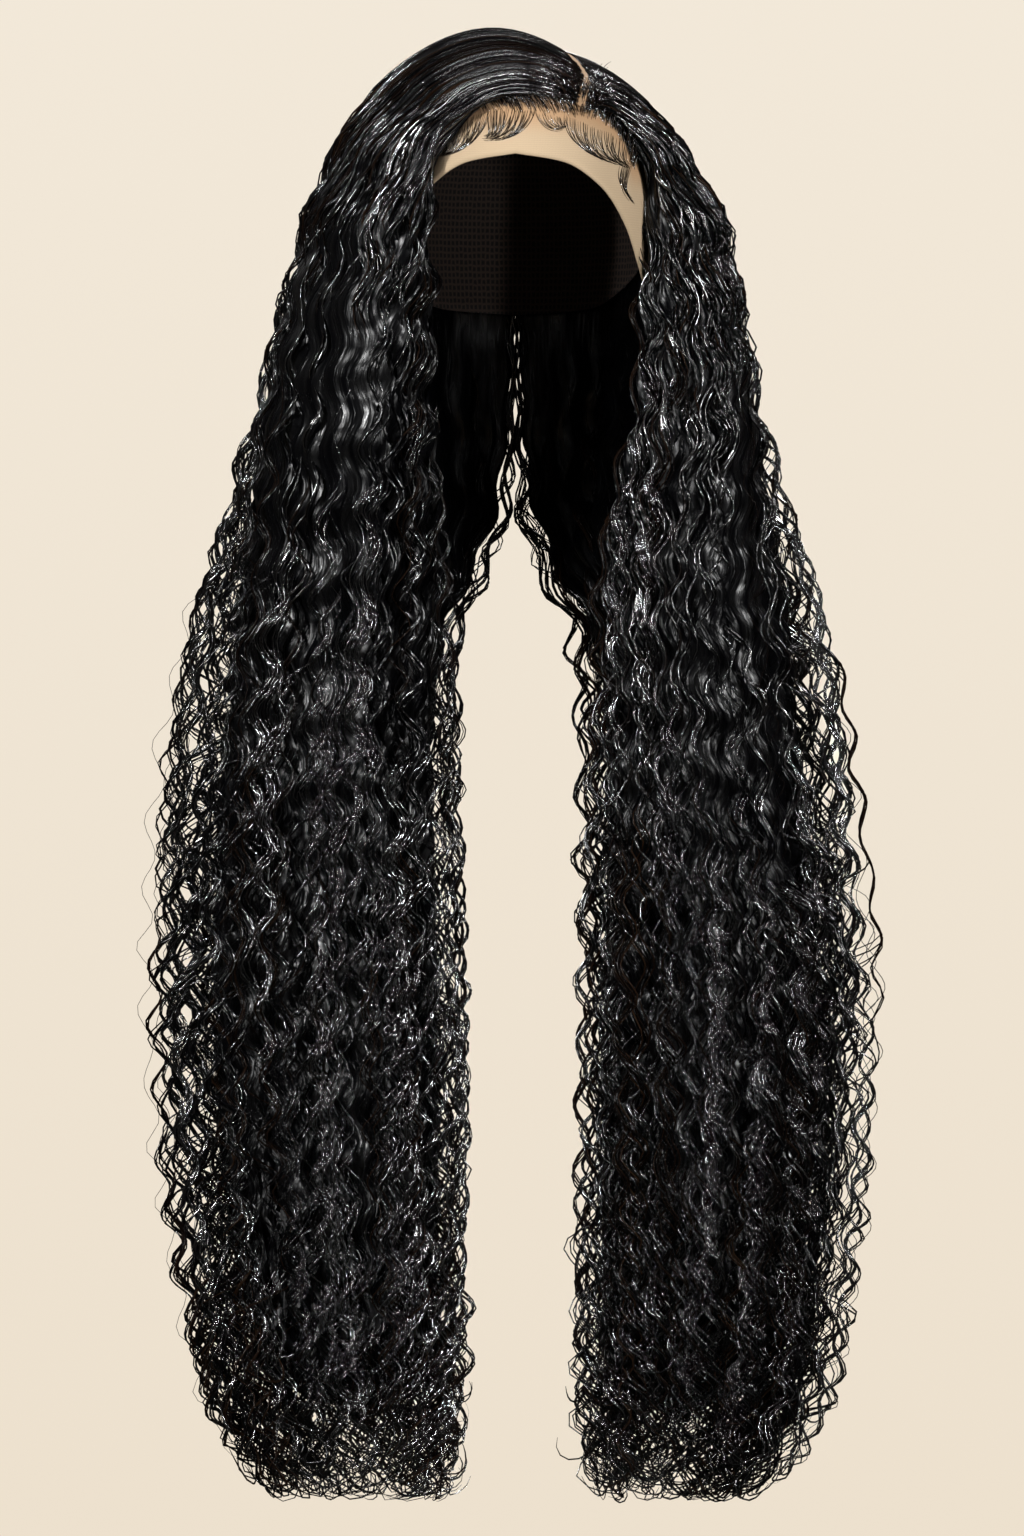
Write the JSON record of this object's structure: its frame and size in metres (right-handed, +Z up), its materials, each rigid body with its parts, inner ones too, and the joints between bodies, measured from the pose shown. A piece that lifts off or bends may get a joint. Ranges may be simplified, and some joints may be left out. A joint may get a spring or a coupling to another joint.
{
  "type": "long wavy lace front wig",
  "caption": "Long black deep wave lace front wig with a side parting, its hair hanging in a left and a right curtain, held in its worn form.",
  "frame": {"origin": "top of the inside of the cap, where the crown of the head sits", "axes": "+Z up, -Y out of the face, +X to the right as seen from the front"},
  "size_m": [0.4225, 0.2368, 0.8386],
  "materials": {
    "hair": "glossy black wavy hair",
    "lace": "sheer tan lace net",
    "cap_net": "black stretch net"
  },
  "bodies": {
    "root": {"lace_front": "lace", "cap": "cap_net", "left_front_hair": "hair", "left_side_hair": "hair", "left_back_hair": "hair", "right_front_hair": "hair", "right_side_hair": "hair", "right_back_hair": "hair"}
  },
  "joints": []
}
